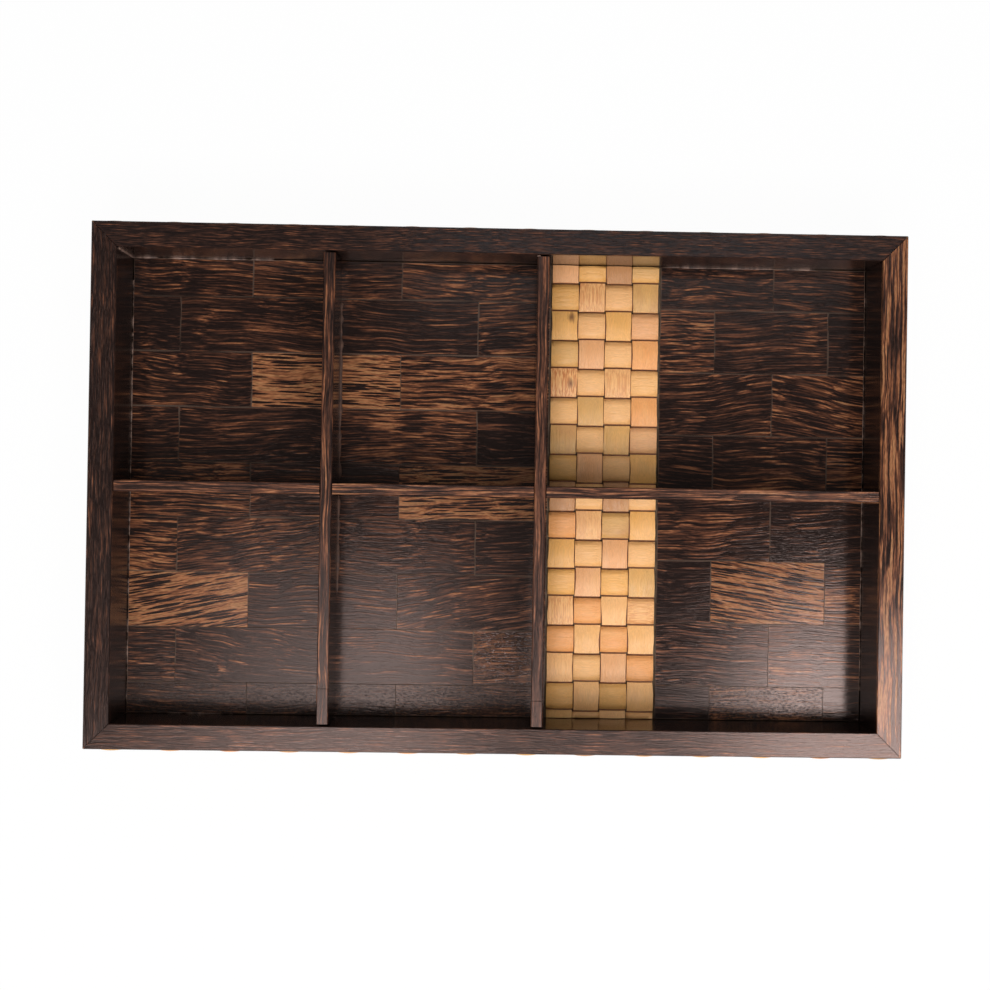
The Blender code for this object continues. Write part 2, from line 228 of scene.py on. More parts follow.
def lacquered_palm(
    name,
    grain_axis,
    ground,
    spread,
    gloss,
    along=45,
    across=1000,
    patchiness=0.18,
    specular=0.5,
    tint=LACQUER_TINT,
):
    """Palm wood under lacquer. A low ground and a narrow spread make it pale, and a low gloss shiny."""
    finish, tree, shader, place = new_finish(name)
    dashes, patches, pores = palm_pattern(tree, place, grain_axis, along, across)
    lift = times(tree, minus(tree, patches, 0.5), patchiness)
    wood = palm_colour(tree, plus(tree, dashes, lift), pores, ground, spread)
    tree.links.new(wood, shader.inputs["Base Color"])
    lacquer(tree, shader, dashes, pores, gloss, PALM_RELIEF, tint)
    shader.inputs["Specular IOR Level"].default_value = specular
    return finish


lengthwise_wall_palm = lacquered_palm("lengthwise_palm_wall", "X", **WALL_GRAIN)
crosswise_wall_palm = lacquered_palm("crosswise_palm_wall", "Y", **SIDE_WALL_GRAIN)
dress(["back_wall", "front_wall"], lengthwise_wall_palm)
dress(["left_wall", "right_wall"], crosswise_wall_palm)


# Rim caps and base laths: planed palm-wood strips with mitred corners, glued on top of the walls and round
# their foot. They are a little duller than the inside. Their grain is fine, and boldest on the right cap.
RIM_LACQUER = {"gloss": 0.14, "tint": (1.0, 0.73, 0.66, 1)}
RIM_GRAIN = {**RIM_LACQUER, "ground": 0.42, "spread": 0.50, "along": 55, "across": 1300, "patchiness": 0.15}
BRIGHT_RIM_GRAIN = {**RIM_LACQUER, "ground": 0.405, "spread": 0.20, "along": 22, "across": 950}
DULL_RIM_GRAIN = {**RIM_GRAIN, "ground": 0.46}
PALE_RIM_GRAIN = {**RIM_GRAIN, "along": 85, "across": 1600, "tint": (1.0, 0.92, 0.93, 1)}

front_rim = lacquered_palm("front_palm_rim", "X", **RIM_GRAIN)
back_rim = lacquered_palm("back_palm_rim", "X", **PALE_RIM_GRAIN)
crosswise_rim = lacquered_palm("crosswise_palm_rim", "Y", **DULL_RIM_GRAIN)
bright_rim = lacquered_palm("bright_palm_rim", "Y", **BRIGHT_RIM_GRAIN)
dress(["front_rim_cap", "front_base_lath"], front_rim)
dress(["back_rim_cap", "back_base_lath"], back_rim)
dress(["left_rim_cap", "left_base_lath", "right_base_lath"], crosswise_rim)
dress(["right_rim_cap"], bright_rim)


# Dividers: three boards on edge of the same black palm wood as the walls. They are half lapped into each
# other, and stand on the floor between the walls.
lengthwise_divider = lacquered_palm("lengthwise_palm_divider", "X", **WALL_GRAIN)
crosswise_divider = lacquered_palm("crosswise_palm_divider", "Y", **WALL_GRAIN)
dress(["long_divider"], lengthwise_divider)
dress(["left_cross_divider", "right_cross_divider"], crosswise_divider)


# Edging: thin palm-wood strips glued on top of the dividers, each cross one in two lengths with a butt joint
# near the front. Long orange and red streaks run through them between black ones.
EDGING_WOOD = {"gloss": 0.22, "along": 26, "across": 1050, "patchiness": 0.15}
EDGING_GRAIN = {**EDGING_WOOD, "ground": 0.41, "spread": 0.30}
LONG_EDGING_GRAIN = {**EDGING_GRAIN, "ground": 0.39}
BROWN_EDGING_GRAIN = {**EDGING_GRAIN, "ground": 0.33, "spread": 0.46}

edging_of_long_divider = [f"long_divider_{word}_edging" for word in ("left", "middle", "right")]
dress(edging_of_long_divider, lacquered_palm("lengthwise_palm_edging", "X", **LONG_EDGING_GRAIN))
for divider, grain in (("left_cross_divider", EDGING_GRAIN), ("right_cross_divider", BROWN_EDGING_GRAIN)):
    crosswise_edging = lacquered_palm(f"{divider}_palm_edging", "Y", **grain)
    dress([f"{divider}_long_edging", f"{divider}_short_edging"], crosswise_edging)


# Parquet tiles: planed blocks of palm wood of mixed tone, glued edge to edge in staggered rows, with a
# hairline joint round each. Some are nearly black, some red-brown, and a few tan with dark tapered streaks.
TILE_JOINT = 0.00008
TILE_ARRIS = 0.00014
GLUE_FRINGE = 0.00035
JOINT_GLUE = (0.12, 0.08, 0.06, 1)
GRAIN_START_RANGE = 3
STRAY_TONE = 0.008
STRAY_SLANT = 1.5

# Sizes of both fields: a row, the cut row at the back, a tile, and the first joint of even and odd rows
LEFT_TILE_WIDTH = 0.0295
LEFT_FIRST_ROW = 0.0202
LEFT_TILE_LENGTH = 0.0797
LEFT_EVEN_JOINT = -0.1329
LEFT_ODD_JOINT = -0.1713
RIGHT_TILE_WIDTH = 0.03375
RIGHT_FIRST_ROW = 0.0230
RIGHT_TILE_LENGTH = 0.0615
RIGHT_EVEN_JOINT = 0.1470
RIGHT_ODD_JOINT = 0.1155

TILE_GLOSS = 0.105
TILE_RELIEF = 0.00005
TILE_GROUND = 0.445
TILE_SPREAD = 0.345
TILE_DASHES = (30, 1020)
TILE_WANDER = 0.008
TILE_PATCHINESS = 0.14
DARK_BUNDLES = (52, 830)
BUNDLE_DARKNESS = -4.6
DARKNESS_BY_PATCH = (1.35, 0.3)
GLUE_BY_PATCH = (0.15, 1.0)
WORN_SPOTS = (520, 1200, 1200)
PIT_RANGE = (0.59, 0.65)
SPECK_RANGE = (0.45, 0.38)
MOST_SPECKS = 0.4

# How far the tone of a tile lifts its dashes, and the tones that the maker picked, row by row from the back
TONES = {
    "black": -0.04,
    "dark": 0.0,
    "brown": 0.025,
    "reddish": 0.05,
    "mixed": 0.075,
    "light": 0.13,
    "tan": 0.235,
}
LEFT_ROWS = (
    ("brown", "reddish", "reddish"),
    ("black", "dark", "black", "reddish"),
    ("brown", "tan", "light"),
    ("dark", "dark", "mixed", "black"),
    ("light", "dark", "tan"),
    ("light", "mixed", "dark", "black"),
    ("tan", "dark", "brown"),
    ("reddish", "dark", "dark", "reddish"),
    ("brown", "black", "brown"),
)
RIGHT_ROWS = (
    ("dark", "brown"),
    ("light", "dark", "black"),
    ("brown", "mixed"),
    ("black", "reddish", "light"),
    ("brown", "black"),
    ("black", "tan", "mixed"),
    ("dark", "reddish"),
    ("black", "reddish", "black"),
)

# Degrees by which the grain of some tiles runs off their length
LEFT_SLANTS = {(1, 3): 6, (5, 1): 7, (6, 0): 10, (6, 2): 9, (7, 1): -7}
RIGHT_SLANTS = {(2, 0): 5, (2, 1): -9, (5, 1): -8}

# How worn and pitted some tiles near the front wall are
LEFT_WEAR = {(7, 3): 0.6, (8, 0): 0.3, (8, 1): 0.4, (8, 2): 0.6}
RIGHT_WEAR = {(7, 1): 0.9}

tile_dice = random.Random(11)


def deselect_all():
    if bpy.context.object and bpy.context.object.mode == "EDIT":
        bpy.ops.object.mode_set(mode="OBJECT")
    bpy.ops.object.select_all(action="DESELECT")


def select_corners(piece, test):
    """In edit mode, selects the corner points that pass the test, and the edges and faces between them."""
    shape = bmesh.from_edit_mesh(piece.data)
    for part in (shape.verts, shape.edges, shape.faces):
        for item in part:
            item.select = False
    for corner in shape.verts:
        corner.select = test(corner.co)
    shape.select_mode = {"VERT"}
    shape.select_flush_mode()
    bmesh.update_edit_mesh(piece.data)


def note(piece, name, value):
    """Writes one number on every corner of a piece, which its finish reads."""
    attribute = piece.data.attributes.new(name, "FLOAT", "POINT")
    attribute.data.foreach_set("value", [value] * len(piece.data.vertices))


def mark_arris(tile):
    """Writes 1 on the corners of the eased edges and 0 on those of the face inside the fringe of glue."""
    half_length, half_width = tile.dimensions.x / 2, tile.dimensions.y / 2
    middle = sum((Vector(corner) for corner in tile.bound_box), Vector()) / 8
    inner = TILE_ARRIS * 1.5
    marks = []
    for corner in tile.data.vertices:
        near_end = abs(corner.co.x - middle.x) > half_length - inner
        near_side = abs(corner.co.y - middle.y) > half_width - inner
        marks.append(1.0 if near_end or near_side else 0.0)
    attribute = tile.data.attributes.new("arris", "FLOAT", "POINT")
    attribute.data.foreach_set("value", marks)


def noted(tree, name):
    """The number of that name that was written on the corners of the piece."""
    return add_node(tree, "ShaderNodeAttribute", {}, attribute_name=name).outputs["Fac"]


def mixed_colour(tree, share, first, second):
    """The first colour, and the second one where the share is 1."""
    sockets = {"Factor": share, "A": first, "B": second}
    return add_node(tree, "ShaderNodeMix", sockets, data_type="RGBA").outputs["Result"]


def tile_finish():
    """Palm wood that follows the tone, slant, start of the grain and wear that are noted on its tile."""
    finish, tree, shader, place = new_finish("lacquered_palm_tile")
    slant = noted(tree, "slant")
    start = noted(tree, "start")
    tone = noted(tree, "tone")
    turning = {"Vector": place, "Angle": slant}
    turned = add_node(tree, "ShaderNodeVectorRotate", turning, rotation_type="Z_AXIS").outputs[0]
    away = add_node(tree, "ShaderNodeCombineXYZ", {"X": start, "Y": start, "Z": start}).outputs[0]
    own_place = vector_arithmetic(tree, "ADD", turned, away)
    dashes, patches, pores = palm_pattern(tree, own_place, "X", *TILE_DASHES, TILE_WANDER)
    lift = times(tree, minus(tree, patches, 0.5), TILE_PATCHINESS)

    dark_bundles = fibre_bundles(tree, own_place, along_grain("X", *DARK_BUNDLES))
    by_patch = value_range(tree, patches, 0.35, 0.62, *DARKNESS_BY_PATCH)
    paleness = times(tree, arithmetic(tree, "MAXIMUM", tone, 0.0), by_patch)
    darkened = times(tree, times(tree, dark_bundles, paleness), BUNDLE_DARKNESS)
    value = plus(tree, plus(tree, dashes, lift), plus(tree, tone, darkened))
    wood = palm_colour(tree, value, pores, TILE_GROUND, TILE_SPREAD)

    glued = times(tree, noted(tree, "arris"), value_range(tree, patches, 0.4, 0.6, *GLUE_BY_PATCH))
    jointed = mixed_colour(tree, glued, wood, JOINT_GLUE)
    wear = noted(tree, "wear")
    spots = stretched_noise(tree, own_place, WORN_SPOTS, 2, 0.55)
    pits = times(tree, value_range(tree, spots, *PIT_RANGE, 0.0, 1.0), wear)
    specks = times(tree, value_range(tree, spots, *SPECK_RANGE, 0.0, MOST_SPECKS), wear)
    speckled = mixed_colour(tree, specks, jointed, PALM_TAN)
    tree.links.new(mixed_colour(tree, pits, speckled, PALM_BLACK), shader.inputs["Base Color"])
    lacquer(tree, shader, minus(tree, dashes, pits), pores, TILE_GLOSS, TILE_RELIEF, LACQUER_TINT)
    return finish


tile_palm = tile_finish()


def lay_tile(name, field, left, right, front, back, tone, slant, wear):
    """One tile: a block between its joints, with the arris of its upper edges eased."""
    low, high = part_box(field)
    deselect_all()
    middle = ((left + right) / 2, (front + back) / 2, (low.z + high.z) / 2)
    bpy.ops.mesh.primitive_cube_add(size=1, location=middle)
    tile = bpy.context.object
    tile.name = name
    tile.data.name = name
    size = (right - left - TILE_JOINT, back - front - TILE_JOINT, high.z - low.z)
    bpy.ops.object.mode_set(mode="EDIT")
    bpy.ops.transform.resize(value=size)
    select_corners(tile, lambda place: place.z > 0)
    bpy.ops.mesh.bevel(offset=TILE_ARRIS, segments=1, affect="EDGES")
    select_corners(tile, lambda place: place.z > (high.z - low.z) / 2 - TILE_ARRIS / 2)
    bpy.ops.mesh.inset(thickness=GLUE_FRINGE)
    bpy.ops.object.mode_set(mode="OBJECT")
    bpy.ops.object.transform_apply(location=True, rotation=True, scale=True)
    note(tile, "tone", TONES[tone] + tile_dice.uniform(-STRAY_TONE, STRAY_TONE))
    note(tile, "slant", -math.radians(slant))
    note(tile, "start", tile_dice.uniform(0, GRAIN_START_RANGE))
    note(tile, "wear", wear)
    mark_arris(tile)
    tile.data.materials.append(tile_palm)
    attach(tile, "root")
    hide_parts(field)


def lay_field(word, rows, tile_width, first_row, tile_length, even_joint, odd_joint, slants, wear):
    """A field of tiles from the back wall to the front wall, with the rows staggered by half a tile."""
    field = word + "_parquet"
    low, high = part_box(field)
    back = high.y
    for row, tones in enumerate(rows):
        front = max(high.y - first_row - tile_width * row, low.y)
        first_joint = even_joint if row % 2 == 0 else odd_joint
        joints = [first_joint + tile_length * index for index in range(len(tones) - 1)]
        ends = [low.x, *joints, high.x]
        for index, tone in enumerate(tones):
            slant = slants.get((row, index), tile_dice.uniform(-STRAY_SLANT, STRAY_SLANT))
            name = f"{word}_tile_{row + 1}_{index + 1}"
            left, right = ends[index], ends[index + 1]
            lay_tile(name, field, left, right, front, back, tone, slant, wear.get((row, index), 0.0))
        back = front


lay_field(
    "left",
    LEFT_ROWS,
    LEFT_TILE_WIDTH,
    LEFT_FIRST_ROW,
    LEFT_TILE_LENGTH,
    LEFT_EVEN_JOINT,
    LEFT_ODD_JOINT,
    LEFT_SLANTS,
    LEFT_WEAR,
)
lay_field(
    "right",
    RIGHT_ROWS,
    RIGHT_TILE_WIDTH,
    RIGHT_FIRST_ROW,
    RIGHT_TILE_LENGTH,
    RIGHT_EVEN_JOINT,
    RIGHT_ODD_JOINT,
    RIGHT_SLANTS,
    RIGHT_WEAR,
)


# Woven band of the floor: split golden palm strips, four from front to back and seventeen across, laced over
# and under each other. Each is a little thicker along its middle, and its tone changes along its length.
STRIP_THICKNESS = 0.0015
STRIP_EDGE_THICKNESS = 0.0006
STRIP_SPACE = 0.0009
STRIP_LIFT = 0.0003
DIVE_LENGTH = 0.00025
DIVE_CLEARANCE = 0.00025
ARCH_HEIGHT = 0.0011
ARCH_STEPS = 8
BAND_FIRST_ROW = 0.0096
BAND_ROW_PITCH = 0.01534
BAND_COLUMNS = 4
BAND_SIDE_GAP = 0.0002
EDGE_WANDER = 0.0014
EDGE_WANDER_LENGTH = 0.012
MOST_CELLS = 40
STRAY_TINT = 0.03
SMOOTH_ANGLE = 40

GOLDEN = (0.84, 0.42, 0.115, 1)
PALE_TAN = (0.88, 0.47, 0.185, 1)
ORANGE_TAN = (0.84, 0.36, 0.115, 1)
PINK_TAN = (0.80, 0.40, 0.18, 1)
OLIVE_TAN = (0.70, 0.385, 0.13, 1)
TAWNY = (0.52, 0.235, 0.085, 1)
STREAK_ORANGE = (0.58, 0.185, 0.055, 1)
# Painted shade: the brown of the stretches that dive and run under a crossing strip, for the shade in the
# gaps
PAINTED_GAP_SHADE = (0.38, 0.14, 0.055, 1)
KNOT_BROWN = (0.13, 0.045, 0.02, 1)
KNOT_PLACES = ((0.0382, 0.0582), (0.0381, 0.0940))
KNOT_CORE = 0.0004
KNOT_REACH = 0.0034
KNOT_STRETCH = (1.5, 0.9, 0)
KNOT_WOBBLE = 0.001
STRIP_CLOUDS = (45, 120)
STRIP_FIBRES = (60, 1100)
STRIP_FINE_FIBRES = (200, 4200)
STRIP_THREADS = (60, 1700)
CLOUD_TINT = 0.05
FIBRE_SHADES = (0.88, 1.08)
STREAKY_TINTS = (0.86, 0.98)
STREAK_RANGE = (0.40, 0.60)
STRIP_ROUGHNESS = (0.32, 0.54)
STRIP_RELIEF = 0.0004

# Where each tint lies on the scale of colours, and the tints of the band, row by row from the back
STRIP_TINTS = {
    "tawny": 0.0,
    "olive": 0.12,
    "golden": 0.24,
    "pale": 0.4,
    "orange": 0.6,
    "pink": 0.78,
    "striped": 0.9,
    "streaked": 1.0,
}
BAND_ROWS = (
    # The first row lies against the back wall, and its darker tints are partly painted shade of that wall
    ("pink", "golden", "tawny", "olive"),
    ("golden", "striped", "pale", "olive"),
    ("golden", "pale", "golden", "pink"),
    ("olive", "pink", "pale", "orange"),
    ("streaked", "pale", "striped", "pale"),
    ("pale", "olive", "pale", "orange"),
    ("olive", "pale", "olive", "pink"),
    ("golden", "pink", "pale", "golden"),
    ("tawny", "pale", "tawny", "pale"),
    ("orange", "striped", "olive", "golden"),
    ("golden", "pale", "pink", "pale"),
    ("golden", "pink", "golden", "olive"),
    ("striped", "orange", "pale", "striped"),
    ("orange", "pale", "orange", "pale"),
    ("striped", "pale", "pink", "orange"),
    ("golden", "pale", "golden", "pale"),
    ("golden", "pale", "pale", "pale"),
)

strip_dice = random.Random(5)


def strip_finish(name, grain_axis):
    """Golden palm wood, tinted crossing by crossing, with fibres, streaks and knots, and painted shade where
    it dives and runs under.
    """
    finish, tree, shader, place = new_finish(name)
    tint = noted(tree, "tint")
    cloud = stretched_noise(tree, place, along_grain(grain_axis, *STRIP_CLOUDS), 2, 0.5)
    fibres = stretched_noise(tree, place, along_grain(grain_axis, *STRIP_FIBRES), 3, 0.6)
    fine = stretched_noise(tree, place, along_grain(grain_axis, *STRIP_FINE_FIBRES), 2, 0.5)
    threads = stretched_noise(tree, place, along_grain(grain_axis, *STRIP_THREADS), 2, 0.5)
    blend = plus(tree, tint, noise_range(tree, cloud, -CLOUD_TINT, CLOUD_TINT))
    colours = (TAWNY, OLIVE_TAN, GOLDEN, PALE_TAN, ORANGE_TAN, PINK_TAN, PALE_TAN, PALE_TAN)
    body = colour_steps(tree, blend, list(zip(STRIP_TINTS.values(), colours)))

    streaky = value_range(tree, tint, *STREAKY_TINTS, 0.08, 1.0)
    streaks = times(tree, value_range(tree, threads, *STREAK_RANGE, 0.0, 0.95), streaky)
    streaked = mixed_colour(tree, streaks, body, STREAK_ORANGE)
    wood = shaded(tree, streaked, noise_range(tree, fine, *FIBRE_SHADES))

    for knot in KNOT_PLACES:
        apart = vector_arithmetic(tree, "SUBTRACT", place, (*knot, 0))
        flat = vector_arithmetic(tree, "MULTIPLY", apart, KNOT_STRETCH)
        away = add_node(tree, "ShaderNodeVectorMath", {0: flat}, operation="LENGTH").outputs["Value"]
        uneven = plus(tree, away, noise_range(tree, fibres, -KNOT_WOBBLE, KNOT_WOBBLE))
        knotted = value_range(tree, uneven, KNOT_CORE, KNOT_REACH, 0.85, 0.0)
        wood = mixed_colour(tree, knotted, wood, KNOT_BROWN)

    # Painted shade: corners marked as diving or running under are mixed to brown, for the shade in the gaps
    gap_shaded = mixed_colour(tree, noted(tree, "fold"), wood, PAINTED_GAP_SHADE)
    tree.links.new(gap_shaded, shader.inputs["Base Color"])
    tree.links.new(noise_range(tree, fibres, *STRIP_ROUGHNESS), shader.inputs["Roughness"])
    add_relief(tree, shader, plus(tree, fibres, times(tree, fine, 0.3)), STRIP_RELIEF)
    return finish


def strip_path(crossings, start, end, thickness=STRIP_THICKNESS, arch=ARCH_HEIGHT):
    """Points along a strip, each with its height, its crossing and whether it gets painted shade, where it
    runs under.

    It arches over some strips, and dives right at the edge of the next one to run flat under it.
    """
    over = STRIP_LIFT + thickness
    dive_end = STRIP_SPACE / 2 - DIVE_CLEARANCE
    points = []
    for cell, (near, far, on_top) in enumerate(crossings):
        reach = dive_end - DIVE_LENGTH if on_top else -dive_end
        middle, half = (near + far) / 2, (far - near) / 2 + reach
        low, high = max(middle - half, start), min(middle + half, end)
        if high - low < thickness:
            continue
        steps = ARCH_STEPS if on_top else 1
        for step in range(steps + 1):
            place = low + (high - low) * step / steps
            rise = arch * math.cos(math.pi / 2 * (place - middle) / half)
            # The last number marks the stretches under a crossing strip for painted shade
            points.append((place, over + rise if on_top else 0, cell, 0.0 if on_top else 1.0))
    return points


def pull_strip(name, width, path, thickness=STRIP_THICKNESS, edge=STRIP_EDGE_THICKNESS):
    """A strip along X: its crowned end is drawn first, and then pulled over and under along the path."""
    deselect_all()
    bpy.ops.mesh.primitive_plane_add(size=1, rotation=(0, math.pi / 2, 0))
    strip = bpy.context.object
    strip.name = name
    strip.data.name = name
    bpy.ops.object.transform_apply(location=False, rotation=True, scale=False)
    bpy.ops.object.mode_set(mode="EDIT")
    bpy.ops.transform.resize(value=(1, width, edge))
    for cut in (-width / 4, 0, width / 4):
        select_corners(strip, lambda place: True)
        bpy.ops.mesh.bisect(plane_co=(0, cut, 0), plane_no=(0, 1, 0))
    crown = thickness - edge
    select_corners(strip, lambda place: place.z > 0 and abs(place.y) < width / 8)
    bpy.ops.transform.translate(value=(0, 0, crown))
    select_corners(strip, lambda place: place.z > 0 and width / 8 < abs(place.y) < width * 3 / 8)
    bpy.ops.transform.translate(value=(0, 0, crown * 0.75))
    select_corners(strip, lambda place: True)
    bpy.ops.transform.translate(value=(path[0][0], 0, path[0][1] + edge / 2))
    for near, far in zip(path, path[1:]):
        step = (far[0] - near[0], 0, far[1] - near[1])
        bpy.ops.mesh.extrude_region_move(TRANSFORM_OT_translate={"value": step})
    bpy.ops.mesh.select_all(action="SELECT")
    bpy.ops.mesh.normals_make_consistent(inside=False)
    bpy.ops.object.mode_set(mode="OBJECT")
    places = [point[0] for point in path]
    rings = [bisect.bisect_left(places, corner.co.x - DIVE_CLEARANCE / 10) for corner in strip.data.vertices]
    # Notes the crossing and the painted-shade mark on every corner
    for attribute_name, part in (("cell", 2), ("fold", 3)):
        attribute = strip.data.attributes.new(attribute_name, "FLOAT", "POINT")
        attribute.data.foreach_set("value", [path[ring][part] for ring in rings])
    return strip


def copy_of(piece, name):
    twin = piece.copy()
    twin.data = piece.data.copy()
    twin.name = name
    twin.data.name = name
    bpy.context.scene.collection.objects.link(twin)
    return twin


def put(piece, location, rotation=(0, 0, 0)):
    """Turns and moves a piece, and then applies that, so that its object is at the origin."""
    deselect_all()
    piece.location = location
    piece.rotation_euler = rotation
    piece.select_set(True)
    bpy.context.view_layer.objects.active = piece
    bpy.ops.object.transform_apply(location=True, rotation=True, scale=True)


def split_edges(piece, reach):
    """The edges of hand-split strips wander: a cloud pushes the strip sideways along the axis in reach."""
    cloud = bpy.data.textures.get("split_edge") or bpy.data.textures.new("split_edge", "CLOUDS")
    cloud.noise_scale = EDGE_WANDER_LENGTH
    cloud.noise_depth = 2
    wander = piece.modifiers.new("wander", "DISPLACE")
    wander.texture = cloud
    wander.texture_coords = "LOCAL"
    wander.direction = reach
    wander.mid_level = 0.5
    wander.strength = EDGE_WANDER
    bpy.context.view_layer.objects.active = piece
    bpy.ops.object.modifier_apply(modifier=wander.name)


def finish_strip(piece, finish, reach, words=None):
    """Uneven edges, a tint of its own for each crossing, and the finish."""
    split_edges(piece, reach)
    words = words or strip_dice.choices(list(STRIP_TINTS), k=MOST_CELLS)
    tints = [STRIP_TINTS[word] + strip_dice.uniform(-STRAY_TINT, STRAY_TINT) for word in words]
    cells = piece.data.attributes["cell"].data
    tint = piece.data.attributes.new("tint", "FLOAT", "POINT")
    tint.data.foreach_set("value", [tints[round(cell.value) % len(tints)] for cell in cells])
    deselect_all()
    piece.select_set(True)
    bpy.context.view_layer.objects.active = piece
    bpy.ops.object.shade_smooth_by_angle(angle=math.radians(SMOOTH_ANGLE))
    piece.data.materials.clear()
    piece.data.materials.append(finish)


band_lengthwise = strip_finish("golden_strip_lengthwise", "Y")
band_across = strip_finish("golden_strip_across", "X")
board_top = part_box("bottom_board")[1].z
strip_base = board_top + STRIP_LIFT
cross_low, cross_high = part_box("band_cross_strip_02")
long_low, long_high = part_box("band_long_strip_1")
band_pitch = (cross_high.x - cross_low.x) / BAND_COLUMNS
inner_back = long_high.y + STRIP_LIFT
first_line = inner_back - BAND_FIRST_ROW + BAND_ROW_PITCH
row_lines = [first_line - BAND_ROW_PITCH * row for row in range(len(BAND_ROWS) + 1)]
column_lines = [cross_low.x + band_pitch * column for column in range(BAND_COLUMNS + 1)]

for phase in (0, 1):
    crossings = []
    for column in range(BAND_COLUMNS):
        crossings.append((column_lines[column], column_lines[column + 1], (phase + column) % 2 == 1))
    path = strip_path(crossings, cross_low.x, cross_high.x)
    pattern = pull_strip("cross_pattern", BAND_ROW_PITCH - STRIP_SPACE, path)
    for row in range(phase, len(BAND_ROWS), 2):
        node = f"band_cross_strip_{row + 1:02d}"
        node_low, node_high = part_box(node)
        strip = copy_of(pattern, f"floor_cross_strip_{row + 1:02d}")
        put(strip, (0, (row_lines[row] + row_lines[row + 1]) / 2, strip_base))
        finish_strip(strip, band_across, "Y", BAND_ROWS[row])
        for edge, side in ((node_low.y, -1), (node_high.y, 1)):
            deselect_all()
            bpy.context.view_layer.objects.active = strip
            bpy.ops.object.mode_set(mode="EDIT")
            bpy.ops.mesh.select_all(action="SELECT")
            bpy.ops.mesh.bisect(
                plane_co=(0, edge, 0),
                plane_no=(0, side, 0),
                use_fill=True,
                clear_outer=True,
                threshold=0.00001,
            )
            bpy.ops.object.mode_set(mode="OBJECT")
        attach(strip, "root")
        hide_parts(node)
    bpy.data.objects.remove(pattern)

for column in range(BAND_COLUMNS):
    crossings = []
    for row in reversed(range(len(BAND_ROWS))):
        crossings.append((row_lines[row + 1], row_lines[row], (row + column) % 2 == 0))
    path = strip_path(crossings, long_low.y, long_high.y)
    left = column_lines[column] + (STRIP_SPACE / 2 if column > 0 else BAND_SIDE_GAP)
    right = column_lines[column + 1] - (STRIP_SPACE / 2 if column < BAND_COLUMNS - 1 else BAND_SIDE_GAP)
    strip = pull_strip(f"floor_long_strip_{column + 1}", right - left, path)
    put(strip, ((left + right) / 2, 0, strip_base), (0, 0, math.pi / 2))
    finish_strip(strip, band_lengthwise, "X", [words[column] for words in reversed(BAND_ROWS)])
    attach(strip, "root")
    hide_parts(f"band_long_strip_{column + 1}")


# Cladding of the walls: a woven mat of the same split strips on each side, three strips along it and uprights
# laced through them. It sits between the rim cap and the base lath, and its ends are mitred at the corners.
CLADDING_PITCH = 0.0152
CLADDING_OFFSET = 0.0140
CLADDING_ROWS = 3
CLADDING_THICKNESS = 0.0013
CLADDING_EDGE = 0.0012
PROUD_ARCH = 0.0009
FLAT_ARCH = 0.0005
MITRE_GAP = 0.00015
WALL_THICKNESS = 0.010

mat_bottom, mat_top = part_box("back_woven_panel")[0].z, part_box("back_woven_panel")[1].z
mat_row = (mat_top - mat_bottom) / CLADDING_ROWS
upright_golden = strip_finish("golden_strip_upright", "Z")


def join_pieces(pieces, name):
    deselect_all()
    for piece in pieces:
        piece.select_set(True)
    bpy.context.view_layer.objects.active = pieces[0]
    bpy.ops.object.join()
    pieces[0].name = name
    pieces[0].data.name = name
    return pieces[0]


def mitre_mat(mat, half_run, face):
    """Saws both ends of a mat at 45 degrees through the inner corners of the box."""
    deselect_all()
    bpy.context.view_layer.objects.active = mat
    bpy.ops.object.mode_set(mode="EDIT")
    for end in (-1, 1):
        bpy.ops.mesh.select_all(action="SELECT")
        saw = (end * (half_run - MITRE_GAP), face, 0)
        bpy.ops.mesh.bisect(plane_co=saw, plane_no=(end, -1, 0), use_fill=True, clear_outer=True)
    bpy.ops.object.mode_set(mode="OBJECT")


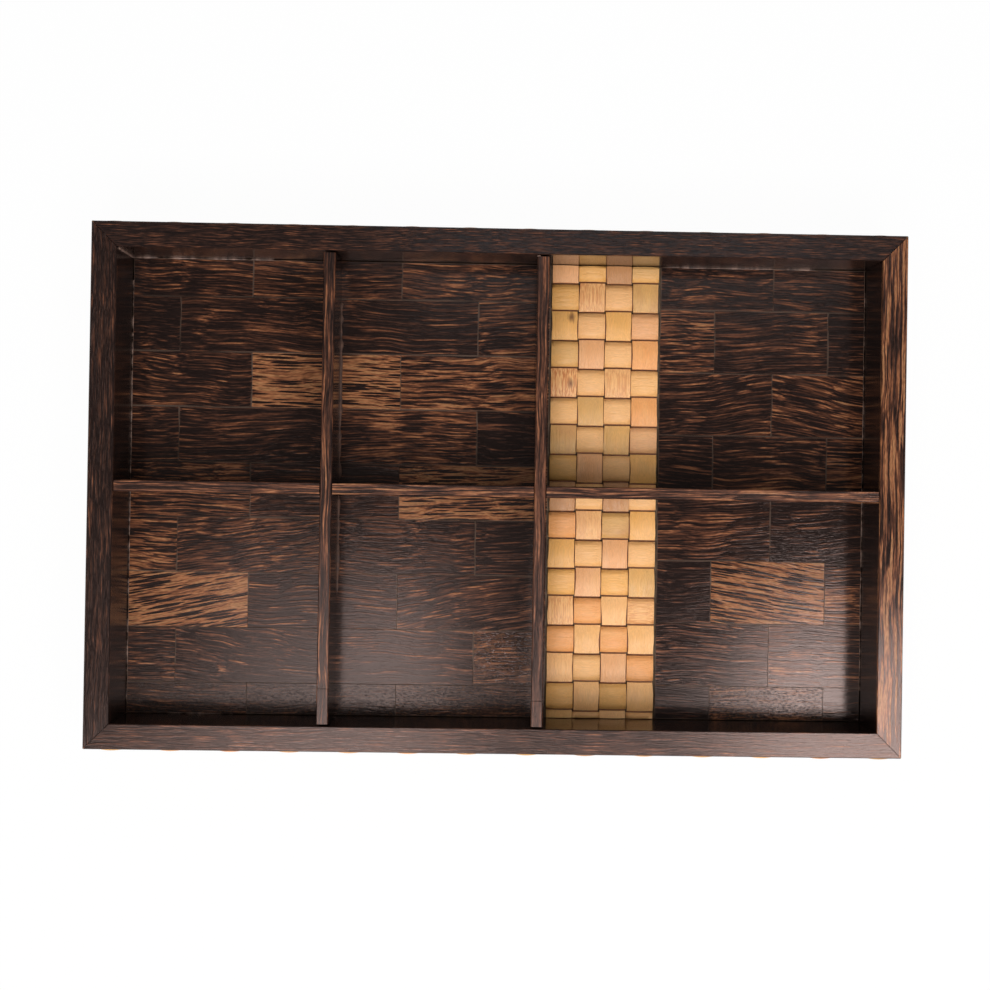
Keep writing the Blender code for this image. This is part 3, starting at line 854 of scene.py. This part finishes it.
def hang_mat(word, turn_degrees, half_run, face, lengthwise_finish, arch):
    """Both sets of strips of one side, made as for the back and then turned to their side."""
    half_pitch = CLADDING_PITCH / 2
    base = face + WALL_THICKNESS + STRIP_LIFT
    half_bed = half_run + WALL_THICKNESS
    reach = half_bed + CLADDING_PITCH
    first = math.ceil((-reach - CLADDING_OFFSET) / CLADDING_PITCH)
    last = math.floor((reach - CLADDING_OFFSET) / CLADDING_PITCH)
    middles = {column: CLADDING_OFFSET + column * CLADDING_PITCH for column in range(first, last + 1)}

    lengthwise = []
    for row in range(CLADDING_ROWS):
        crossings = []
        for column, middle in middles.items():
            crossings.append((middle - half_pitch, middle + half_pitch, (row + column) % 2 == 0))
        path = strip_path(crossings, -reach, reach, CLADDING_THICKNESS, arch)
        width = mat_row - STRIP_SPACE
        strip = pull_strip(f"{word}_strip_{row}", width, path, CLADDING_THICKNESS, CLADDING_EDGE)
        put(strip, (0, base, mat_top - (row + 0.5) * mat_row), (-math.pi / 2, 0, 0))
        finish_strip(strip, lengthwise_finish, "Z")
        lengthwise.append(strip)

    uprights = []
    rows = [mat_top - row * mat_row for row in range(CLADDING_ROWS + 1)]
    for phase in (0, 1):
        crossings = []
        for row in reversed(range(CLADDING_ROWS)):
            crossings.append((rows[row + 1], rows[row], (row + phase) % 2 == 1))
        path = strip_path(crossings, mat_bottom, mat_top, CLADDING_THICKNESS, arch)
        width = CLADDING_PITCH - STRIP_SPACE
        pattern = pull_strip("upright_pattern", width, path, CLADDING_THICKNESS, CLADDING_EDGE)
        for column, middle in middles.items():
            if column % 2 == phase and abs(middle) - half_pitch < half_bed + STRIP_SPACE:
                strip = copy_of(pattern, f"{word}_upright_{column}")
                put(strip, (middle, base, 0), (-math.pi / 2, -math.pi / 2, 0))
                finish_strip(strip, upright_golden, "X")
                uprights.append(strip)
        bpy.data.objects.remove(pattern)

    for strips, kind in ((lengthwise, "lengthwise_strips"), (uprights, "upright_strips")):
        mat = join_pieces(strips, f"{word}_{kind}")
        mitre_mat(mat, half_run, face)
        put(mat, (0, 0, 0), (0, 0, math.radians(turn_degrees)))
        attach(mat, "root")
        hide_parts(word + "_woven_panel")


box_half_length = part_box("right_wall")[0].x
box_half_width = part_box("back_wall")[0].y
hang_mat("back", 0, box_half_length, box_half_width, band_across, FLAT_ARCH)
hang_mat("front", 180, box_half_length, box_half_width, band_across, PROUD_ARCH)
hang_mat("right", -90, box_half_width, box_half_length, band_lengthwise, FLAT_ARCH)
hang_mat("left", 90, box_half_width, box_half_length, band_lengthwise, FLAT_ARCH)


# Glue: wood glue that was squeezed out when the box was put together, and has dried at the foot of the walls
# and dividers. It is palest in the back left corner, dusty along the left cross divider, and a thin, broken
# line elsewhere.
DRIED_GLUE = (0.30, 0.185, 0.14, 1)
THIN_GLUE = (0.05, 0.026, 0.02, 1)
DUSTY_GLUE = (0.12, 0.058, 0.038, 1)
GLUE_SPOTS = (350, 350, 350)
GLUE_RELIEF = 0.0003
BEAD_SIDES = 8
BEAD_LUMPS = 0.004
CORNER_BEAD_TOP = 0.053
CORNER_BEAD_RADIUS = 0.0008
CORNER_UNEVENNESS = 0.0014
TIP_TAPER = 0.2
EDGING_DAB_PLACE = (0.0190, 0.1213, 0.0543)
EDGING_DAB_SIZE = (0.0009, 0.0006, 0.0005)


def glue_finish(name, colour, dullness):
    finish, tree, shader, place = new_finish(name)
    cover = stretched_noise(tree, place, GLUE_SPOTS, 3, 0.6)
    tree.links.new(colour_steps(tree, cover, [(0.35, THIN_GLUE), (0.6, colour)]), shader.inputs["Base Color"])
    tree.links.new(noise_range(tree, cover, dullness, dullness + 0.25), shader.inputs["Roughness"])
    add_relief(tree, shader, cover, GLUE_RELIEF)
    return finish


dried_glue = glue_finish("dried_glue", DRIED_GLUE, 0.3)
dusty_glue = glue_finish("dusty_glue", DUSTY_GLUE, 0.65)


def rough_up(bead, unevenness, lump_length, finish):
    """Makes a bead uneven, so that it thins out and breaks where it sinks into the corner."""
    lumps = bpy.data.textures.new(bead.name, "CLOUDS")
    lumps.noise_scale = lump_length
    lumps.noise_depth = 3
    uneven = bead.modifiers.new("uneven", "DISPLACE")
    uneven.texture = lumps
    uneven.texture_coords = "LOCAL"
    uneven.mid_level = 0.55
    uneven.strength = unevenness
    bpy.context.view_layer.objects.active = bead
    bpy.ops.object.modifier_apply(modifier=uneven.name)
    bpy.ops.object.shade_smooth()
    bead.data.materials.append(finish)
    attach(bead, "root")


def glue_bead(name, start, end, radius, unevenness, finish=dried_glue):
    """A bead along a corner: a thin rod with tapered ends, cut into short lengths and made uneven."""
    start, end = Vector(start), Vector(end)
    deselect_all()
    along = end - start
    bpy.ops.mesh.primitive_cylinder_add(
        vertices=BEAD_SIDES,
        radius=radius,
        depth=along.length,
        location=(start + end) / 2,
        rotation=along.to_track_quat("Z", "Y").to_euler(),
    )
    bead = bpy.context.object
    bead.name = name
    bead.data.name = name
    bpy.ops.object.transform_apply(location=True, rotation=True, scale=True)
    bpy.ops.object.mode_set(mode="EDIT")
    cuts = int(along.length / (radius * 1.5))
    for cut in range(1, cuts):
        bpy.ops.mesh.select_all(action="SELECT")
        bpy.ops.mesh.bisect(plane_co=start + along * cut / cuts, plane_no=along)
    for tip in (start, end):
        select_corners(bead, lambda place: (place - tip).length < radius * 1.2)
        bpy.ops.transform.resize(value=(TIP_TAPER, TIP_TAPER, TIP_TAPER), center_override=tip)
    bpy.ops.object.mode_set(mode="OBJECT")
    rough_up(bead, unevenness, BEAD_LUMPS, finish)


def glue_dab(name, place, size):
    """A small flat dab: a ball pressed to that size and made uneven."""
    deselect_all()
    bpy.ops.mesh.primitive_ico_sphere_add(subdivisions=3, radius=1, location=place)
    dab = bpy.context.object
    dab.name = name
    dab.data.name = name
    bpy.ops.object.mode_set(mode="EDIT")
    bpy.ops.transform.resize(value=size, center_override=place)
    bpy.ops.object.mode_set(mode="OBJECT")
    bpy.ops.object.transform_apply(location=True, rotation=True, scale=True)
    rough_up(dab, size[2], size[1], dried_glue)


floor_low, floor_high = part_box("left_parquet")
floor_top = floor_high.z
left_edge, back_edge, front_edge = floor_low.x, floor_high.y, floor_low.y
right_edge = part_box("right_parquet")[1].x
divider_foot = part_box("left_cross_divider")[1].x
long_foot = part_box("long_divider")[0].y

corner_foot = (left_edge, back_edge, floor_top)
corner_top = (left_edge, back_edge, CORNER_BEAD_TOP)
glue_bead("corner_glue", corner_foot, corner_top, CORNER_BEAD_RADIUS, CORNER_UNEVENNESS)

# The beads along the floor: start and end on the plan, radius, unevenness and finish
thick_end = left_edge + 0.017
thin_start, thin_end = left_edge + 0.015, left_edge + 0.075
FLOOR_BEADS = {
    "back_glue": ((left_edge, back_edge), (thick_end, back_edge), 0.0008, 0.0014, dried_glue),
    "back_thin_glue": ((thin_start, back_edge), (thin_end, back_edge), 0.0003, 0.0012, dried_glue),
    "left_glue": ((left_edge, 0.110), (left_edge, -0.116), 0.0002, 0.0010, dried_glue),
    "divider_back_glue": ((divider_foot, 0.100), (divider_foot, 0.004), 0.0010, 0.0026, dusty_glue),
    "divider_front_glue": ((divider_foot, -0.004), (divider_foot, -0.058), 0.0010, 0.0026, dusty_glue),
    "long_divider_glue": ((divider_foot, long_foot), (-0.045, long_foot), 0.0003, 0.0010, dried_glue),
    "back_right_glue": ((0.087, back_edge), (0.170, back_edge), 0.0003, 0.0010, dried_glue),
    "right_glue": ((right_edge, 0.110), (right_edge, -0.105), 0.00015, 0.0009, dried_glue),
    "front_glue": ((-0.175, front_edge), (-0.140, front_edge), 0.00015, 0.0010, dried_glue),
}
for name, (start, end, radius, unevenness, finish) in FLOOR_BEADS.items():
    glue_bead(name, (*start, floor_top), (*end, floor_top), radius, unevenness, finish)
glue_dab("edging_end_glue", EDGING_DAB_PLACE, EDGING_DAB_SIZE)


# Floor under the tray: a pale, dull sheet of paper. The camera sees it nearly white, with only a faint shadow
# of the tray on it.
SHEET_SIZE = 12
SHEET_HEIGHT = -0.0002
SHEET_WHITE = (0.86, 0.86, 0.86, 1)
SHEET_ROUGHNESS = 0.9
SHEET_GLOW = 0.97

deselect_all()
bpy.ops.mesh.primitive_plane_add(size=SHEET_SIZE, location=(0, 0, SHEET_HEIGHT))
sheet = bpy.context.object
sheet.name = "pale_sheet"
paper, tree, shader, _ = new_finish("pale_sheet")
shader.inputs["Base Color"].default_value = SHEET_WHITE
shader.inputs["Roughness"].default_value = SHEET_ROUGHNESS
bright = add_node(tree, "ShaderNodeEmission", {"Color": (1, 1, 1, 1), "Strength": 1.0})
share = times(tree, add_node(tree, "ShaderNodeLightPath", {}).outputs["Is Camera Ray"], SHEET_GLOW)
mixed = add_node(tree, "ShaderNodeMixShader", {0: share, 1: shader.outputs[0], 2: bright.outputs[0]})
tree.links.new(mixed.outputs[0], tree.nodes["Material Output"].inputs["Surface"])
sheet.data.materials.append(paper)


# Lamps: soft boxes of even brightness. Stacks of them hang on the front side of the camera, left and right,
# and put a sheen on the lacquer that fades out towards the back. Others fill in from the four sides.
LAMP_HEIGHT = 1.2
LAMP_STEP = 0.004
TOP_FRONT = -0.80
TOP_BACK = -0.41
RIM_FRONT = -0.40
RIM_BACK = -0.276
FLOOR_FRONT = -0.272
COOL_WHITE = (0.75, 0.92, 1.0)
ROOM_STRENGTH = 0.12


def soft_box(name, place, aim, width, length, radiance):
    """A soft lamp of even brightness that faces the given point."""
    light = bpy.data.lights.new(name, "AREA")
    light.shape = "RECTANGLE"
    light.size = width
    light.size_y = length
    light.energy = radiance * math.pi * width * length
    lamp = bpy.data.objects.new(name, light)
    lamp.location = place
    lamp.rotation_euler = (Vector(place) - Vector(aim)).to_track_quat("Z", "Y").to_euler()
    bpy.context.scene.collection.objects.link(lamp)


# The boxes that hang level, each a little above the last: left, right, front and back edge on the plan, and
# radiance. The lacquered floor mirrors those behind FLOOR_FRONT, and the front rim those before RIM_BACK.
OVERHEAD_BOXES = {
    "top": (-0.50, 0.60, TOP_FRONT, TOP_BACK, 5.0),
    "top_left": (-0.31, -0.03, TOP_FRONT, TOP_BACK, 8.0),
    "top_right": (0.245, 0.515, TOP_FRONT, TOP_BACK, 7.5),
    "rim_glow": (-0.47, 0.60, RIM_FRONT, RIM_BACK, 1.8),
    "rim_left": (-0.385, -0.05, RIM_FRONT, RIM_BACK, 1.3),
    "rim_left_middle": (-0.27, -0.05, RIM_FRONT, RIM_BACK, 1.7),
    "rim_middle": (0.06, 0.20, RIM_FRONT, RIM_BACK, 1.1),
    "rim_right": (0.232, 0.60, RIM_FRONT, RIM_BACK, 4.0),
    "rim_right_middle": (0.285, 0.60, RIM_FRONT, RIM_BACK, 3.2),
    "rim_right_end": (0.34, 0.60, RIM_FRONT, RIM_BACK, 3.0),
    "floor_glow": (-0.42, 0.19, FLOOR_FRONT, -0.04, 0.2),
    "left_wide": (-0.34, -0.035, FLOOR_FRONT, -0.10, 1.0),
    "left_middle": (-0.295, -0.055, FLOOR_FRONT, -0.13, 1.1),
    "left_core": (-0.18, -0.06, FLOOR_FRONT, -0.155, 2.0),
    "right_edge": (0.255, 0.56, FLOOR_FRONT, -0.215, 0.9),
    "right_wide": (0.268, 0.56, FLOOR_FRONT, -0.205, 1.2),
    "right_middle": (0.292, 0.56, FLOOR_FRONT, -0.18, 1.8),
    "right_core": (0.315, 0.56, FLOOR_FRONT, -0.165, 4.4),
    "right_back": (0.33, 0.56, FLOOR_FRONT, -0.14, 2.2),
    "back_window": (-0.11, 0.41, 0.20, 0.33, 0.38),
    "back_rim_window": (-0.11, 0.45, 0.262, 0.33, 0.7),
}
for level, (name, (left, right, front, back, radiance)) in enumerate(OVERHEAD_BOXES.items()):
    middle = ((left + right) / 2, (front + back) / 2, LAMP_HEIGHT + level * LAMP_STEP)
    soft_box(name, middle, (middle[0], middle[1] + 0.01, 0), right - left, back - front, radiance)
for name in ("back_window", "back_rim_window"):
    bpy.data.lights[name].color = COOL_WHITE

# The boxes that lean towards the tray from its four sides: place, width, length and radiance
FILL_BOXES = {
    "front_fill": ((0.05, -1.0, 1.2), 1.2, 0.6, 2.2),
    "left_fill": ((-0.95, 0.1, 1.15), 0.5, 0.8, 1.6),
    "right_fill": ((0.95, 0.1, 1.15), 0.5, 0.8, 1.6),
    "back_fill": ((0.0, 0.9, 1.15), 0.8, 0.5, 1.6),
}
for name, (stand, width, length, radiance) in FILL_BOXES.items():
    soft_box(name, stand, (0, 0, 0), width, length, radiance)

world = bpy.data.worlds.new("room")
bpy.context.scene.world = world
world.use_nodes = True
world.node_tree.nodes["Background"].inputs["Color"].default_value = (1, 1, 1, 1)
world.node_tree.nodes["Background"].inputs["Strength"].default_value = ROOM_STRENGTH


# Camera: overhead, as in the photograph, a little off the middle of the tray. Its place and turn, its focal
# length and the middle of its view in the picture are those that fit the corners of the rim and the floor.
CAMERA_PLACE = (-0.0037, 0.0057, 1.0291)
CAMERA_TURN = (0.452, -1.557, 0.904)
SENSOR_WIDTH = 36
FOCAL_PIXELS = 1894.2
PICTURE_PIXELS = 990
MIDDLE_PIXEL = (542.8, 464.7)

lens = bpy.data.cameras.new("overhead")
lens.sensor_width = SENSOR_WIDTH
lens.lens = FOCAL_PIXELS / PICTURE_PIXELS * SENSOR_WIDTH
lens.shift_x = (PICTURE_PIXELS / 2 - MIDDLE_PIXEL[0]) / PICTURE_PIXELS
lens.shift_y = (MIDDLE_PIXEL[1] - PICTURE_PIXELS / 2) / PICTURE_PIXELS
overhead = bpy.data.objects.new("overhead", lens)
overhead.location = CAMERA_PLACE
overhead.rotation_euler = tuple(math.radians(angle) for angle in CAMERA_TURN)
bpy.context.scene.collection.objects.link(overhead)
bpy.context.scene.camera = overhead
bpy.context.scene.view_settings.view_transform = "Standard"
